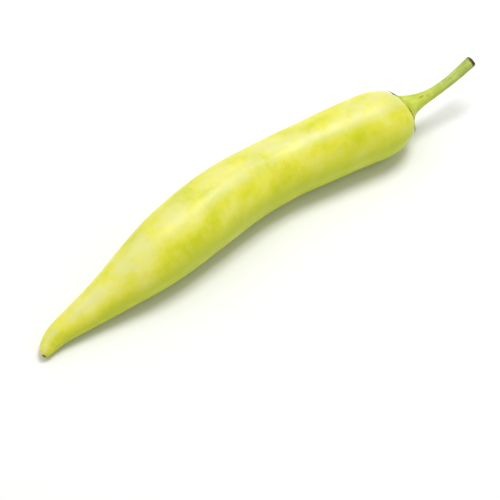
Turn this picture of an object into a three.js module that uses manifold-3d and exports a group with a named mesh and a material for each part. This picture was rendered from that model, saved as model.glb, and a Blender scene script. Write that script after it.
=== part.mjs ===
// A long pale green chilli pepper lying on its side, as picked. It has three pieces: the pod, the calyx that
// caps the pod's crown, and the stem with its cut end. All three follow one curved spine, from the blossom
// tip to the cut. Units are millimetres, +X runs from the tip to the stem and +Z is up.
import * as THREE from "three";
import { mergeVertices } from "three/addons/utils/BufferGeometryUtils.js";
import Module from "manifold-3d";

const wasm = await Module();
wasm.setup();

// Driving dimensions
const podLength = 164.2; // tip to crown, along the spine
const shoulderRadius = 12.5;
const shoulderLength = 16; // how far the domed crown reaches down the pod
const brimRadius = 5.7; // calyx, between its teeth
const toothReach = 3.9; // how far the longest tooth goes past the brim
const calyxHeight = 8.5; // crown to collar
const calyxThickness = 0.6;
const stemLength = 31.4; // crown to cut end
const joinGap = 0.3; // clearance between neighbouring pieces
const restDepth = 0.3; // how much of the pod's underside is pressed flat where it lies

// Spine: x, y and the height of the middle of the pod, from the tip to the cut end of the stem
const spine = new THREE.CatmullRomCurve3(
  [
    [0, 0, 2.7],
    [4, 2.3, 3.2],
    [9, 3.3, 4.3],
    [17, 3.2, 5.7],
    [27, 3, 7.2],
    [37, 3, 9.1],
    [48, 3.4, 11],
    [60, 4.4, 12.2],
    [73, 5.6, 12.7],
    [86, 6.7, 12.7],
    [99, 6.8, 12.1],
    [112, 5.6, 11.9],
    [124, 3.5, 12.1],
    [137, 1, 12.6],
    [150, -1.6, 12.4],
    [157.5, -2.6, 12.9],
    [163, -3.1, 13.9],
    [168.5, -4, 14.5],
    [173.5, -4.7, 15],
    [181.5, -5.3, 16.7],
    [192.3, -5.5, 19.9],
  ].map(([x, y, z]) => new THREE.Vector3(x, y, z)),
);
spine.arcLengthDivisions = 1200;
const spineLength = spine.getLength();
const up = new THREE.Vector3(0, 0, 1);

// How the pod swells from the blossom tip to the start of its shoulder: distance along the spine, radius
const podSwell = [
  [0, 0],
  [0.5, 1.1],
  [2, 2.15],
  [4.6, 3.05],
  [8, 3.8],
  [12, 4.4],
  [16.5, 5.1],
  [25, 6.45],
  [35.5, 8.35],
  [48, 10.7],
  [60, 12.1],
  [75, 12.7],
  [88, 12.65],
  [102, 12.05],
  [115, 11.95],
  [126, 12.15],
  [podLength - shoulderLength, shoulderRadius],
];

// The crown is a superellipse: how far its surface has dropped below the crown at a radius
const crownDrop = (radius) => {
  const share = Math.min(1, radius / shoulderRadius);
  return shoulderLength * (1 - Math.sqrt(1 - share ** 3.1));
};

const crownSteps = 11;
const podProfile = () => {
  const swell = new THREE.SplineCurve(
    podSwell.map(([along, radius]) => new THREE.Vector2(radius, along)),
  );
  const body = swell.getSpacedPoints(50);
  body[0].x = 0;
  const crown = [];
  for (let i = 1; i <= crownSteps; i++) {
    // equal turns of the dome, so that its points stay evenly spaced
    const radius = shoulderRadius * Math.cos((i / crownSteps) * (Math.PI / 2)) ** 0.8;
    crown.push(new THREE.Vector2(i === crownSteps ? 0 : radius, podLength - crownDrop(radius)));
  }
  return [...body, ...crown];
};

// Three shallow lobes run the length of the pod and fade out at the tip and under the calyx
const lobeDepth = 0.018;
const podSection = (angle, along) => {
  const fadeIn = THREE.MathUtils.smoothstep(along, 10, 60);
  const fadeOut = 1 - THREE.MathUtils.smoothstep(along, podLength - 6, podLength - 1);
  return 1 + lobeDepth * fadeIn * fadeOut * Math.cos(3 * angle + 0.9);
};

// The calyx: a thin disc that follows the crown, and a flare that narrows to the collar
const flare = [
  [5, 0.9],
  [4.3, 2],
  [3.6, 3.6],
  [3.1, 5.3],
  [2.7, 6.9],
  [2.42, calyxHeight],
];
const skirtSteps = 5;
const calyxProfile = () => {
  const reach = brimRadius + toothReach;
  const onCrown = (radius, lift) => new THREE.Vector2(radius, podLength - crownDrop(radius) + lift);
  const under = [0, 0.35, 0.7].map((share) => onCrown(share * brimRadius, joinGap));
  const outer = [];
  for (let i = 0; i <= skirtSteps; i++) {
    const radius = THREE.MathUtils.lerp(brimRadius, reach, i / skirtSteps);
    const thickness = calyxThickness * (1 - 0.45 * (i / skirtSteps));
    under.push(onCrown(radius, joinGap));
    outer.unshift(onCrown(radius, joinGap + thickness));
  }
  const horn = flare.map(([radius, height]) => new THREE.Vector2(radius, podLength + height));
  return [...under, ...outer, ...horn, new THREE.Vector2(0, podLength + calyxHeight)];
};

// Five narrow teeth, each at an angle around the spine and with its own share of the full reach
const teeth = [
  { at: 30, reach: 0.15 },
  { at: 116, reach: 0.8 },
  { at: 188, reach: 0.65 },
  { at: 250, reach: 0.4 },
  { at: 328, reach: 1 },
];
const toothHalfWidth = THREE.MathUtils.degToRad(13);
const leastReach = 0.06;
const toothShare = (angle) => {
  let share = leastReach;
  for (const tooth of teeth) {
    const away = Math.abs(
      THREE.MathUtils.euclideanModulo(angle - THREE.MathUtils.degToRad(tooth.at) + Math.PI, 2 * Math.PI) -
        Math.PI,
    );
    share = Math.max(share, tooth.reach * (1 - away / toothHalfWidth));
  }
  return share;
};

// The stem: collar, a slender middle and a slightly swollen cut end
const stemProfile = () =>
  [
    [0, calyxHeight + joinGap],
    [2.38, calyxHeight + joinGap],
    [2.12, 11],
    [1.97, 14],
    [1.86, 18],
    [1.92, 22],
    [2, 26],
    [2.1, 29],
    [2.08, stemLength - 0.4],
    [1.75, stemLength],
    [0, stemLength + 0.15],
  ].map(([radius, height]) => new THREE.Vector2(radius, podLength + height));
const stemRib = 0.04;
const stemSection = (angle) => 1 + stemRib * Math.cos(5 * angle);

// A point in the plane across the spine, at a distance from it and an angle that turns from the top
// towards -Y
const acrossSpine = (along, angle, radius) => {
  const share = THREE.MathUtils.clamp(along / spineLength, 0, 1);
  const centre = spine.getPointAt(share);
  const ahead = spine.getTangentAt(share);
  const right = new THREE.Vector3().crossVectors(ahead, up).normalize();
  const above = new THREE.Vector3().crossVectors(right, ahead);
  return centre
    .addScaledVector(right, radius * Math.sin(angle))
    .addScaledVector(above, radius * Math.cos(angle));
};

// Turns a profile of (radius, distance along) into a closed skin, and bends that skin along the spine
const alongSpine = (profile, segments, shape) => {
  const geometry = new THREE.LatheGeometry(profile, segments);
  const position = geometry.getAttribute("position");
  for (let i = 0; i < position.count; i++) {
    const angle = Math.atan2(position.getX(i), position.getZ(i));
    const radius = Math.hypot(position.getX(i), position.getZ(i));
    const shaped = shape(angle, position.getY(i), radius);
    const point = acrossSpine(shaped.along, angle, shaped.radius);
    position.setXYZ(i, point.x, point.y, point.z);
  }
  geometry.deleteAttribute("normal");
  geometry.deleteAttribute("uv");
  return mergeVertices(geometry, 1e-3);
};

const asSolid = (geometry) =>
  new wasm.Manifold(
    new wasm.Mesh({
      numProp: 3,
      vertProperties: new Float32Array(geometry.getAttribute("position").array),
      triVerts: new Uint32Array(geometry.index.array),
    }),
  );

const asGeometry = (solid) => {
  const mesh = solid.getMesh();
  const geometry = new THREE.BufferGeometry();
  geometry.setAttribute("position", new THREE.BufferAttribute(mesh.vertProperties, 3));
  geometry.setIndex(new THREE.BufferAttribute(mesh.triVerts, 1));
  geometry.computeVertexNormals();
  return geometry;
};

// Pod, with the strip that it lies on pressed flat
const podSkin = alongSpine(podProfile(), 32, (angle, along, radius) => ({
  along,
  radius: radius * podSection(angle, along),
}));
podSkin.computeBoundingBox();
const floorHeight = podSkin.boundingBox.min.z + restDepth;
const slabSize = 400;
const slab = mergeVertices(
  new THREE.BoxGeometry(slabSize, slabSize, slabSize)
    .translate(0, 0, floorHeight - slabSize / 2)
    .deleteAttribute("normal")
    .deleteAttribute("uv"),
);
const podGeometry = asGeometry(asSolid(podSkin).subtract(asSolid(slab)));

// Calyx: past the brim, the disc only keeps its teeth
const calyxGeometry = alongSpine(calyxProfile(), 72, (angle, along, radius) => {
  if (radius <= brimRadius) return { along, radius };
  const kept = brimRadius + (radius - brimRadius) * toothShare(angle);
  return { along: along + crownDrop(radius) - crownDrop(kept), radius: kept };
});
calyxGeometry.computeVertexNormals();

const stemGeometry = alongSpine(stemProfile(), 30, (angle, along, radius) => ({
  along,
  radius: radius * stemSection(angle),
}));
stemGeometry.computeVertexNormals();

const waxySkin = new THREE.MeshStandardMaterial({ color: 0xdbe05a, roughness: 0.35, metalness: 0 });
const greenCalyx = new THREE.MeshStandardMaterial({ color: 0xb4c64f, roughness: 0.55, metalness: 0 });
const greenStem = new THREE.MeshStandardMaterial({ color: 0xa9bd4c, roughness: 0.6, metalness: 0 });

const piece = (name, geometry, material) => {
  const mesh = new THREE.Mesh(geometry, material);
  mesh.name = name;
  return mesh;
};
const pepper = new THREE.Group();
pepper.add(piece("pod", podGeometry, waxySkin));
pepper.add(piece("calyx", calyxGeometry, greenCalyx));
pepper.add(piece("stem", stemGeometry, greenStem));

// The part's origin is under the middle of the pepper, on the surface that it lies on
const bounds = new THREE.Box3().setFromObject(pepper);
const middle = bounds.getCenter(new THREE.Vector3());
pepper.position.set(-middle.x, -middle.y, -floorHeight);
const part = new THREE.Group();
part.add(pepper);

export default part;
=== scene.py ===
import math

import bmesh
import bpy
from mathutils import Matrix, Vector, noise


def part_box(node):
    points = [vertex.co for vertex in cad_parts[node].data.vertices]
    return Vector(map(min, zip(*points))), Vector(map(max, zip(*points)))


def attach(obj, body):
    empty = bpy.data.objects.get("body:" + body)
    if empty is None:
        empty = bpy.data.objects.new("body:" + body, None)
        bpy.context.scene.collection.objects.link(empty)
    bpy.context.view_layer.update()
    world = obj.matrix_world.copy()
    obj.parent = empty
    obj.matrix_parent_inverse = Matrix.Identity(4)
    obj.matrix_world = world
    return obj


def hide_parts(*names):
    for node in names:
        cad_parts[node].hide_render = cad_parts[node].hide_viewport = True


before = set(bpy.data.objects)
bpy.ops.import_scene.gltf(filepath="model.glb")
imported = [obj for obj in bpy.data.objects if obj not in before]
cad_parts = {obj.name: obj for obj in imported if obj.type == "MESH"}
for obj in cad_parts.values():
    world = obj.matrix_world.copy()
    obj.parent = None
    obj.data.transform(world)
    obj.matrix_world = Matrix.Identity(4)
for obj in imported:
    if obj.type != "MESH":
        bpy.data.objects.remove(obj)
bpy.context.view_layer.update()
mm = 0.001


def linear(hexColour):
    """sRGB hex to a linear colour."""
    channels = [int(hexColour[i : i + 2], 16) / 255 for i in (1, 3, 5)]
    return [c / 12.92 if c <= 0.04045 else ((c + 0.055) / 1.055) ** 2.4 for c in channels] + [1]


def smoothstep(low, high, value):
    t = min(1, max(0, (value - low) / (high - low)))
    return t * t * (3 - 2 * t)


def through(table, at):
    """A smooth curve through rows of (at, value, ...): the values at one place."""
    last = len(table) - 1
    i = next((k for k in range(last) if at <= table[k + 1][0]), last - 1)

    def slope(k):
        low, high = table[max(0, k - 1)], table[min(last, k + 1)]
        return [(b - a) / (high[0] - low[0]) for a, b in zip(low[1:], high[1:])]

    start, end = table[i], table[i + 1]
    span = end[0] - start[0]
    t = min(1, max(0, (at - start[0]) / span))
    weights = (2 * t**3 - 3 * t**2 + 1, 3 * t**2 - 2 * t**3)
    pulls = ((t**3 - 2 * t**2 + t) * span, (t**3 - t**2) * span)
    return [
        a * weights[0] + b * weights[1] + p * pulls[0] + q * pulls[1]
        for a, b, p, q in zip(start[1:], end[1:], slope(i), slope(i + 1))
    ]


# The spine in millimetres: x, then y and the height of the pod's middle
spine = [
    (0, 0, 2.7),
    (4, 2.3, 3.2),
    (9, 3.3, 4.3),
    (17, 3.2, 5.7),
    (27, 3, 7.2),
    (37, 3, 9.1),
    (48, 3.4, 11),
    (60, 4.4, 12.2),
    (73, 5.6, 12.7),
    (86, 6.7, 12.7),
    (99, 6.8, 12.1),
    (112, 5.6, 11.9),
    (124, 3.5, 12.1),
    (137, 1, 12.6),
    (150, -1.6, 12.4),
    (157.5, -2.6, 12.9),
    (163, -3.1, 13.9),
    (168.5, -4, 14.5),
    (173.5, -4.7, 15),
    (181.5, -5.3, 16.7),
    (192.3, -5.5, 19.9),
]
spineSteps = 960
spinePoints = []
for i in range(spineSteps + 1):
    x = spine[-1][0] * i / spineSteps
    spinePoints.append(Vector((x, *through(spine, x))))
spineRuns = [0]
for a, b in zip(spinePoints, spinePoints[1:]):
    spineRuns.append(spineRuns[-1] + (b - a).length)


def spineAt(along):
    """Centre and direction of the spine at a distance from the blossom tip."""
    along = min(spineRuns[-1], max(0, along))
    low, high = 0, spineSteps
    while high - low > 1:
        middle = (low + high) // 2
        low, high = (middle, high) if spineRuns[middle] <= along else (low, middle)
    share = (along - spineRuns[low]) / (spineRuns[high] - spineRuns[low])
    before, after = spinePoints[max(0, low - 3)], spinePoints[min(spineSteps, high + 3)]
    return spinePoints[low].lerp(spinePoints[high], share), (after - before).normalized()


def bend(along, angle, radius):
    """A point at a radius round the spine; the angle turns from the top towards -Y."""
    centre, ahead = spineAt(along)
    right = ahead.cross(Vector((0, 0, 1))).normalized()
    above = right.cross(ahead)
    return centre + right * (radius * math.sin(angle)) + above * (radius * math.cos(angle))


def turned(profile, steps):
    """A closed skin of (radius, distance along) turned about X, with its poles merged."""
    bm = bmesh.new()
    ring = [bm.verts.new((along, 0, radius)) for radius, along in profile]
    edges = [bm.edges.new(pair) for pair in zip(ring, ring[1:])]
    bmesh.ops.spin(
        bm,
        geom=ring + edges,
        cent=(0, 0, 0),
        axis=(1, 0, 0),
        angle=2 * math.pi,
        steps=steps,
        use_merge=True,
    )
    bmesh.ops.remove_doubles(bm, verts=bm.verts, dist=1e-4)
    bmesh.ops.recalc_face_normals(bm, faces=bm.faces)
    return bm


def aboutAxis(vert):
    """A vertex of a turned skin as its distance along, its angle and its radius."""
    return vert.co.x, math.atan2(-vert.co.y, vert.co.z), math.hypot(vert.co.y, vert.co.z)


def unbent(along, angle, radius):
    """Where a point of the skin lies before the bend, in metres, for the materials' patterns."""
    return Vector((along, radius * math.sin(angle), radius * math.cos(angle))) * mm


def finished(name, bm, material, node):
    """Writes a mesh in millimetres as a piece that stands for a CAD node."""
    for vert in bm.verts:
        vert.co = (vert.co + placed) * mm
    for face in bm.faces:
        face.smooth = True
    mesh = bpy.data.meshes.new(name)
    bm.to_mesh(mesh)
    bm.free()
    mesh.materials.append(material)
    piece = bpy.data.objects.new(name, mesh)
    bpy.context.scene.collection.objects.link(piece)
    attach(piece, "root")
    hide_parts(node)
    print("built", name, len(mesh.polygons), "faces")
    return piece


def addNode(tree, kind, settings=None, links=None):
    """Adds a node; settings name its properties or input sockets, links feed its inputs."""
    node = tree.nodes.new(kind)
    for key, value in (settings or {}).items():
        if isinstance(key, str) and hasattr(node, key):
            setattr(node, key, value)
        else:
            node.inputs[key].default_value = value
    for key, source in (links or {}).items():
        tree.links.new(source, node.inputs[key])
    return node


# The pod
podShape = {
    "length": 164.2,
    "shoulderRadius": 12.5,
    "shoulderLength": 16,
    "crownPower": 3.1,
    "inset": 0.07,
    "bodyRings": 250,
    "crownRings": 40,
    "sides": 128,
    "lobeDepth": 0.018,
    # the strip that it lies on, and a hair of room at the tip
    "pressedFlat": 0.3,
    "tipRoom": 0.02,
    # distance along the spine, radius
    "swell": [
        (0, 0),
        (0.5, 1.1),
        (2, 2.15),
        (4.6, 3.05),
        (8, 3.8),
        (12, 4.4),
        (16.5, 5.1),
        (25, 6.45),
        (35.5, 8.35),
        (48, 10.7),
        (60, 12.1),
        (75, 12.7),
        (88, 12.65),
        (102, 12.05),
        (115, 11.95),
        (126, 12.15),
        (148.2, 12.5),
    ],
    # soft dents and a fine waviness: depth, length along the pod, width round it
    "dents": (0.2, 15, 13),
    "ripples": (0.045, 3.2, 7),
    "smoothTip": 14,
    # how far the furrows sway, in degrees, over which length, and how softly they end
    "furrowSway": (4, 17),
    "furrowFade": 18,
    # shallow furrows: angle in degrees, start and end along the spine, depth, half width in degrees
    "furrows": [
        (4, 66, 122, 0.2, 6),
        (-34, 96, 158, 0.22, 10),
        (62, 112, 160, 0.3, 13),
        (100, 40, 110, 0.25, 12),
        (205, 70, 150, 0.3, 14),
        (-75, 30, 90, 0.2, 11),
    ],
}


def crownDrop(radius):
    share = min(1, radius / podShape["shoulderRadius"])
    return podShape["shoulderLength"] * (1 - math.sqrt(1 - share ** podShape["crownPower"]))


def podRadius(along):
    squares = [(at, radius * radius) for at, radius in podShape["swell"]]
    return math.sqrt(max(0, through(squares, along)[0]))


def podHollow(along, angle):
    """How far the skin dips in at a place: furrows, soft dents and a fine waviness."""
    dip, fade = podShape["inset"], podShape["furrowFade"]
    sway, swayLength = podShape["furrowSway"]
    for at, start, end, depth, width in podShape["furrows"]:
        middle = math.radians(at + sway * math.sin(along / swayLength))
        away = math.degrees(math.remainder(angle - middle, 2 * math.pi))
        ends = smoothstep(start, start + fade, along) * (1 - smoothstep(end - fade, end, along))
        dip += depth * ends * math.exp(-((away / width) ** 2))
    around = Vector((math.cos(angle), math.sin(angle), 0))
    reach = podRadius(min(along, podShape["length"] - podShape["shoulderLength"]))
    dentDepth, dentLength, dentWidth = podShape["dents"]
    rippleDepth, rippleLength, rippleWidth = podShape["ripples"]
    broad = noise.noise(Vector((along / dentLength, 0, 3)) + around * reach / dentWidth)
    fine = noise.noise(Vector((along / rippleLength, 9, 0)) + around * reach / rippleWidth)
    dip += dentDepth * max(0, broad + 0.25) + rippleDepth * (fine + 0.6)
    return dip * smoothstep(0, podShape["smoothTip"], along)


def makePod():
    length = podShape["length"]
    bodyLength = length - podShape["shoulderLength"]
    profile = []
    for i in range(podShape["bodyRings"] + 1):
        along = bodyLength * (i / podShape["bodyRings"]) ** 1.3
        profile.append((podRadius(along), along))
    for i in range(1, podShape["crownRings"] + 1):
        turn = (i / podShape["crownRings"]) * math.pi / 2
        radius = podShape["shoulderRadius"] * max(0, math.cos(turn)) ** 0.8
        radius = 0 if i == podShape["crownRings"] else radius
        profile.append((radius, length - crownDrop(radius)))
    bm = turned(profile, podShape["sides"])
    straight = bm.verts.layers.float_vector.new("straight")
    under = bm.verts.layers.float.new("under")
    for vert in bm.verts:
        along, angle, radius = aboutAxis(vert)
        vert[under] = -math.cos(angle)
        lobes = smoothstep(10, 60, along) * (1 - smoothstep(length - 6, length - 1, along))
        radius *= 1 + podShape["lobeDepth"] * lobes * math.cos(3 * angle + 0.9)
        vert[straight] = unbent(along, angle, radius)
        fade = smoothstep(0, 9, radius)
        vert.co = bend(along, angle, max(0, radius - podHollow(along, angle) * fade))
    return bm


# The spine's own coordinates are moved so that the pod fills its box and lies on its flat strip
pod = makePod()
cadLow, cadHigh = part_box("pod")
podLow = [min(vert.co[axis] for vert in pod.verts) for axis in range(3)]
podHigh = [max(vert.co[axis] for vert in pod.verts) for axis in range(3)]
placed = Vector(
    (
        cadLow.x / mm - podLow[0] + podShape["tipRoom"],
        (cadLow.y + cadHigh.y) / 2 / mm - (podLow[1] + podHigh[1]) / 2,
        (cadHigh.z + cadLow.z) / 2 / mm - (podHigh[2] + podLow[2] + podShape["pressedFlat"]) / 2,
    )
)
for vert in pod.verts:
    vert.co.z = max(vert.co.z, -placed.z)

# The calyx and the stem share one outline, from the brim to the cut
# height above the pod's crown, radius
stalk = [
    (-0.05, 5.7),
    (0.9, 5),
    (2, 4.3),
    (3.6, 3.6),
    (5.3, 3.1),
    (6.9, 2.7),
    (8.5, 2.42),
    (11, 2.12),
    (14, 1.95),
    (18, 1.86),
    (22, 1.92),
    (26, 2.02),
    (29, 2.1),
    (31.4, 2.1),
]


def stalkRadius(height, angle):
    """The outline with its ribs, which run up from the calyx and fade out along the stem."""
    radius = through(stalk, height)[0]
    ribs = 0.035 * math.cos(5 * angle + 0.4) + 0.012 * math.cos(11 * angle)
    rough = noise.noise(Vector((height / 3, 3 * math.cos(angle), 3 * math.sin(angle))))
    return radius * (1 + (ribs - 0.035) * smoothstep(-1, 3, height) + 0.02 * (rough - 0.5))


calyxShape = {
    "brim": 5.7,
    "reach": 3.9,
    "curl": 0.5,
    "thickness": 0.32,
    "height": 8.5,
    "lift": 0.03,
    "skirtRings": 14,
    "hornRings": 34,
    "sides": 288,
    # angle in degrees, share of the reach
    "teeth": [(30, 0.15), (116, 0.8), (188, 0.65), (250, 0.4), (328, 1)],
    "toothHalfWidth": 13,
}


def toothShare(angle):
    share = 0.05 + 0.02 * math.sin(7 * angle) + 0.015 * math.sin(17 * angle + 1)
    for at, reach in calyxShape["teeth"]:
        away = abs(math.degrees(math.remainder(angle - math.radians(at), 2 * math.pi)))
        rise = max(0, 1 - away / calyxShape["toothHalfWidth"])
        share = max(share, reach * rise**1.2)
    return share


def makeCalyx():
    crown, brim, reach = podShape["length"], calyxShape["brim"], calyxShape["reach"]
    lift, rings = calyxShape["lift"], calyxShape["skirtRings"]
    profile = [(0, crown + 0.6)]
    profile += [(share * brim, crown - crownDrop(share * brim) + lift) for share in (0.6, 0.8, 0.9)]
    under, outer = [], []
    for i in range(rings + 1):
        radius = brim + reach * i / rings
        thickness = calyxShape["thickness"] * (1 - 0.75 * (i / rings) ** 2)
        under.append((radius, crown - crownDrop(radius) + lift))
        outer.append((radius, crown - crownDrop(radius) + lift + thickness))
    profile += under + outer[::-1]
    foot = outer[0][1] - crown
    for i in range(1, calyxShape["hornRings"] + 1):
        height = foot + (calyxShape["height"] - foot) * i / calyxShape["hornRings"]
        profile.append((through(stalk, height)[0], crown + height))
    profile.append((0, crown + calyxShape["height"]))
    bm = turned(profile, calyxShape["sides"])
    straight = bm.verts.layers.float_vector.new("straight")
    edgeTone = bm.verts.layers.float.new("edge")
    toothTone = bm.verts.layers.float.new("tooth")
    for vert in bm.verts:
        along, angle, radius = aboutAxis(vert)
        height = along - crown
        beyond = max(0, (radius - brim) / reach)
        if radius > brim + 1e-4:
            kept = brim + (radius - brim) * toothShare(angle)
            along += crownDrop(radius) - crownDrop(kept)
            # the dried points of the teeth curl up off the pod
            curl = calyxShape["curl"] * smoothstep(0.8, 3.9, kept - brim)
            along += curl * 0.6
            radius = kept + curl
        elif height > foot + 1e-4 and radius > 1:
            radius = stalkRadius(height, angle)
        vert[edgeTone] = beyond
        vert[toothTone] = beyond * max(0, toothShare(angle) - 0.08)
        vert[straight] = unbent(along, angle, radius)
        vert.co = bend(along, angle, radius)
    return bm


stemShape = {
    "start": 8.2,
    "end": 31.15,
    "overlap": 0.012,
    "rings": 90,
    "sides": 64,
    # the cut: a dried rim, then a slightly sunken pith: radius, height
    "shoulder": 0.35,
    "cut": [
        (2.09, -0.2),
        (2.03, -0.08),
        (1.9, -0.02),
        (1.7, 0),
        (1.45, -0.03),
        (1.2, -0.1),
        (0.9, -0.16),
        (0.5, -0.18),
        (0, -0.18),
    ],
}


def makeStem():
    crown, start, end = podShape["length"], stemShape["start"], stemShape["end"]
    profile = [(0, crown + start)]
    for i in range(stemShape["rings"] + 1):
        height = start + (end - stemShape["shoulder"] - start) * i / stemShape["rings"]
        profile.append((through(stalk, height)[0], crown + height))
    profile += [(radius, crown + end + height) for radius, height in stemShape["cut"]]
    bm = turned(profile, stemShape["sides"])
    straight = bm.verts.layers.float_vector.new("straight")
    for vert in bm.verts:
        along, angle, radius = aboutAxis(vert)
        height = along - crown
        if radius > 1e-4:
            outline = through(stalk, height)[0]
            radius *= stalkRadius(height, angle) / outline
            radius -= stemShape["overlap"] * (1 - smoothstep(8.5, 9, height))
        if height > end - 0.3:
            # the knife left the end slightly rough
            rough = noise.noise(Vector((1, 2 * math.cos(angle), 2 * math.sin(angle))) * radius)
            along += 0.1 * rough - 0.06
        vert[straight] = unbent(along, angle, radius)
        vert.co = bend(along, angle, radius)
    return bm


def newMaterial(name):
    """A material with a Principled shader, with its unbent skin coordinates and their x alone."""
    material = bpy.data.materials.new(name)
    material.use_nodes = True
    tree = material.node_tree
    tree.nodes.clear()
    shader = addNode(tree, "ShaderNodeBsdfPrincipled")
    addNode(tree, "ShaderNodeOutputMaterial", links={"Surface": shader.outputs["BSDF"]})
    skin = addNode(tree, "ShaderNodeAttribute", {"attribute_name": "straight"})
    parts = addNode(tree, "ShaderNodeSeparateXYZ", links={"Vector": skin.outputs["Vector"]})
    return material, tree, shader, skin.outputs["Vector"], parts.outputs["X"]


def ramp(tree, value, stops):
    """A colour ramp through (position, hex colour) stops."""
    node = addNode(tree, "ShaderNodeValToRGB", links={"Fac": value})
    while len(node.color_ramp.elements) < len(stops):
        node.color_ramp.elements.new(0.5)
    for element, (position, colour) in zip(node.color_ramp.elements, stops):
        element.position = position
        element.color = linear(colour)
    return node.outputs["Color"]


def mixColours(tree, factor, a, b):
    """Mixes two colours, each given as hex or as a socket."""
    node = addNode(tree, "ShaderNodeMix", {"data_type": "RGBA"})
    for socket, source in zip((node.inputs[0], node.inputs[6], node.inputs[7]), (factor, a, b)):
        if isinstance(source, str):
            socket.default_value = linear(source)
        else:
            tree.links.new(source, socket)
    return node.outputs[2]


def mapped(tree, value, low, high, start=0, end=1):
    """Maps low..high to start..end, smoothly and clamped."""
    node = addNode(
        tree,
        "ShaderNodeMapRange",
        {"interpolation_type": "SMOOTHSTEP", 1: low, 2: high, 3: start, 4: end},
        {0: value},
    )
    return node.outputs[0]


def combined(tree, operation, a, b):
    return addNode(tree, "ShaderNodeMath", {"operation": operation}, {0: a, 1: b}).outputs[0]


def tone(tree, name):
    """A number that the mesh carries at each of its points."""
    return addNode(tree, "ShaderNodeAttribute", {"attribute_name": name}).outputs["Fac"]


def noiseOver(tree, vector, scale, stretch=(1, 1, 1), detail=3, roughness=0.5, shift=(0, 0, 0)):
    """Noise over the skin; stretch scales each axis before the noise is read."""
    spread = addNode(tree, "ShaderNodeMapping", {"Scale": stretch, "Location": shift}, {"Vector": vector})
    settings = {"Scale": scale, "Detail": detail, "Roughness": roughness}
    return addNode(tree, "ShaderNodeTexNoise", settings, {"Vector": spread.outputs[0]}).outputs["Fac"]


# Waxed pepper skin: a thin gloss over watery flesh, so the highlights are broad and soft and the shade
# glows yellow-green;
# the deeper green of the lower side is painted shade, and a pale band along the top is a painted highlight
def waxedSkin():
    material, tree, shader, skin, x = newMaterial("waxedSkin")
    # soft paler and greener clouds, about 10 mm across
    clouds = noiseOver(tree, skin, 95, (0.8, 1, 1), 4, 0.55)
    base = ramp(tree, clouds, [(0.33, "#d0d40a"), (0.5, "#e1df38"), (0.68, "#e9e672")])
    # short streaks round the pod, 1 to 2 mm apart, where the flesh grew in steps
    rings = noiseOver(tree, skin, 560, (1, 0.28, 0.28), 3, 0.55)
    base = mixColours(tree, mapped(tree, rings, 0.45, 0.75, 0, 0.2), base, "#f0ee96")
    # pale flecks of wax under a millimetre wide
    flecks = noiseOver(tree, skin, 900, (1, 1, 1), 2, 0.6)
    base = mixColours(tree, mapped(tree, flecks, 0.6, 0.75, 0, 0.15), base, "#f4f2ae")
    # painted shade: the lower side is painted a deeper, more saturated green, as shadow would leave it,
    # unevenly under the clouds
    under = tone(tree, "under")
    uneven = mapped(tree, clouds, 0.4, 0.66, 0.97, 0.78)
    paintedUnderShade = combined(tree, "MULTIPLY", mapped(tree, under, -0.68, 0), uneven)
    # painted shade mixed into the base colour towards the underside
    base = mixColours(tree, paintedUnderShade, base, "#c2cf00")
    # and a painted highlight: a thin, patchy pale band along the top, where the overhead light's
    # reflection falls
    patches = noiseOver(tree, skin, 150, (0.7, 1, 1), 4, 0.6, (0, 5, 0))
    patchy = mapped(tree, patches, 0.36, 0.62, 0.12, 0.72)
    paintedTopHighlight = combined(tree, "MULTIPLY", mapped(tree, under, -0.8, -0.99), patchy)
    # painted highlight mixed into the base colour on the top
    base = mixColours(tree, paintedTopHighlight, base, "#dedd92")
    # the blossom scar at the very tip
    scar = mapped(tree, x, 0.0004, 0.00008)
    base = mixColours(tree, scar, base, "#6a5830")
    tree.links.new(base, shader.inputs["Base Color"])
    # a faint orange-peel waviness, with the growth streaks on top of it
    waviness = noiseOver(tree, skin, 260, (1, 0.5, 0.5), 3, 0.5)
    first = addNode(
        tree, "ShaderNodeBump", {"Strength": 0.5, "Distance": 0.0002}, {"Height": waviness}
    )
    second = addNode(
        tree,
        "ShaderNodeBump",
        {"Strength": 0.3, "Distance": 0.00006},
        {"Height": rings, "Normal": first.outputs[0]},
    )
    tree.links.new(second.outputs[0], shader.inputs["Normal"])
    gloss = noiseOver(tree, skin, 180, (1, 1, 1), 3, 0.5, (3, 0, 0))
    tree.links.new(mapped(tree, gloss, 0.3, 0.7, 0.36, 0.5), shader.inputs["Roughness"])
    shader.inputs["IOR"].default_value = 1.37
    shader.inputs["Subsurface Weight"].default_value = 0.3
    shader.inputs["Subsurface Radius"].default_value = (1, 0.9, 0.25)
    shader.inputs["Subsurface Scale"].default_value = 0.003
    shader.inputs["Coat Weight"].default_value = 0.25
    shader.inputs["Coat Roughness"].default_value = 0.34
    return material


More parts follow.
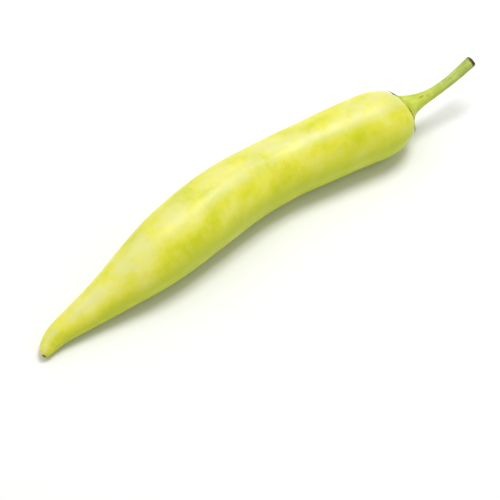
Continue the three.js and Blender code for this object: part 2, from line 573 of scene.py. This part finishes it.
# Stalk rind, on calyx and stem alike: fibrous green with lengthwise streaks and a few bruises, dried brown
# at the teeth and corky at the cut, so it looks matte beside the waxed pod
def stalkRind():
    material, tree, shader, skin, x = newMaterial("stalkRind")
    clouds = noiseOver(tree, skin, 330, (0.6, 1, 1), 3, 0.55)
    pale = ramp(tree, clouds, [(0.3, "#b4c22e"), (0.5, "#c4cf40"), (0.72, "#d4dc66")])
    dull = ramp(tree, clouds, [(0.3, "#8fa634"), (0.5, "#a4b648"), (0.72, "#b8c660")])
    crown = podShape["length"] * mm
    base = mixColours(tree, mapped(tree, x, crown + 0.004, crown + 0.02), pale, dull)
    streaks = noiseOver(tree, skin, 1500, (0.12, 1, 1), 2, 0.5)
    base = mixColours(tree, mapped(tree, streaks, 0.5, 0.75, 0, 0.4), base, "#dde292")
    bruises = noiseOver(tree, skin, 380, (0.7, 1, 1), 2, 0.5, (7, 0, 0))
    base = mixColours(tree, mapped(tree, bruises, 0.62, 0.72, 0, 0.55), base, "#8f8238")
    # the brim is frayed, and the teeth have dried from green to brown
    edge, tooth = tone(tree, "edge"), tone(tree, "tooth")
    frayed = noiseOver(tree, skin, 700, (1, 1, 1), 2, 0.6)
    worn = combined(tree, "MULTIPLY", edge, mapped(tree, frayed, 0.35, 0.65))
    base = mixColours(tree, mapped(tree, worn, 0.2, 1), base, "#7d7836")
    base = mixColours(tree, mapped(tree, tooth, 0.02, 0.3, 0, 0.8), base, "#54461f")
    base = mixColours(tree, mapped(tree, tooth, 0.4, 0.7), base, "#3a2f1a")
    # the cut end's brown runs back along the rind by an uneven millimetre
    cutAt = crown + stemShape["end"] * mm
    ragged = mapped(tree, frayed, 0.3, 0.7, -0.0005, 0.0005)
    depth = combined(tree, "ADD", x, ragged)
    base = mixColours(tree, mapped(tree, depth, cutAt - 0.0016, cutAt - 0.0009), base, "#4a3820")
    tree.links.new(base, shader.inputs["Base Color"])
    bump = addNode(tree, "ShaderNodeBump", {"Strength": 0.5, "Distance": 0.00012}, {"Height": streaks})
    tree.links.new(bump.outputs[0], shader.inputs["Normal"])
    tree.links.new(mapped(tree, clouds, 0.3, 0.7, 0.48, 0.66), shader.inputs["Roughness"])
    shader.inputs["IOR"].default_value = 1.45
    shader.inputs["Subsurface Weight"].default_value = 0.2
    shader.inputs["Subsurface Radius"].default_value = (0.8, 1, 0.2)
    shader.inputs["Subsurface Scale"].default_value = 0.0012
    return material


rind = stalkRind()
finished("podSkin", pod, waxedSkin(), "pod")
finished("calyxCap", makeCalyx(), rind, "calyx")
finished("stemStalk", makeStem(), rind, "stem")


# White table, soft overhead light and a bright surround
studio = {
    "tableSize": 6,
    "tableHeight": -0.00002,
    "tableColour": "#f3f3f2",
    "surround": 0.5,
    "lights": [
        # name, position, width, height, watts
        ("overhead", (0.25, 0.02, 0.85), 0.36, 0.42, 4.7),
        ("windowSide", (-0.3, 0.4, 0.8), 0.8, 0.8, 1.8),
    ],
}
bm = bmesh.new()
bmesh.ops.create_grid(bm, x_segments=1, y_segments=1, size=studio["tableSize"] / 2)
for vert in bm.verts:
    vert.co.z = studio["tableHeight"]
mesh = bpy.data.meshes.new("table")
bm.to_mesh(mesh)
bm.free()
table = bpy.data.objects.new("table", mesh)
bpy.context.scene.collection.objects.link(table)
# painted board, rolled matte: white, with no mirror image of the pepper
material = bpy.data.materials.new("paintedTable")
material.use_nodes = True
paint = material.node_tree.nodes["Principled BSDF"]
paint.inputs["Base Color"].default_value = linear(studio["tableColour"])
paint.inputs["Roughness"].default_value = 0.7
mesh.materials.append(material)

world = bpy.data.worlds.new("surround")
bpy.context.scene.world = world
world.use_nodes = True
world.node_tree.nodes["Background"].inputs["Color"].default_value = (1, 1, 1, 1)
world.node_tree.nodes["Background"].inputs["Strength"].default_value = studio["surround"]
for name, position, width, height, watts in studio["lights"]:
    light = bpy.data.lights.new(name, "AREA")
    light.shape = "RECTANGLE"
    light.size, light.size_y, light.energy = width, height, watts
    lamp = bpy.data.objects.new(name, light)
    lamp.location = position
    lamp.rotation_euler = (-Vector(position)).to_track_quat("-Z", "Y").to_euler()
    bpy.context.scene.collection.objects.link(lamp)
bpy.context.scene.view_settings.view_transform = "Standard"
print("studio ready")

# The camera looks down on the pepper from the side of its tip
view = {
    "azimuth": -40.8,
    "elevation": 50,
    "distance": 0.75,
    "aim": (-0.01924, -0.01861, 0.012),
    "frameWidth": 0.17007,
}
azimuth, elevation = math.radians(view["azimuth"]), math.radians(view["elevation"])
back = Vector(
    (
        math.sin(azimuth) * math.cos(elevation),
        -math.cos(azimuth) * math.cos(elevation),
        math.sin(elevation),
    )
)
camera = bpy.data.cameras.new("camera")
camera.lens = camera.sensor_width * view["distance"] / view["frameWidth"]
camera.clip_start = 0.01
cameraObject = bpy.data.objects.new("camera", camera)
cameraObject.location = Vector(view["aim"]) + back * view["distance"]
cameraObject.rotation_euler = (-back).to_track_quat("-Z", "Y").to_euler()
bpy.context.scene.collection.objects.link(cameraObject)
bpy.context.scene.camera = cameraObject
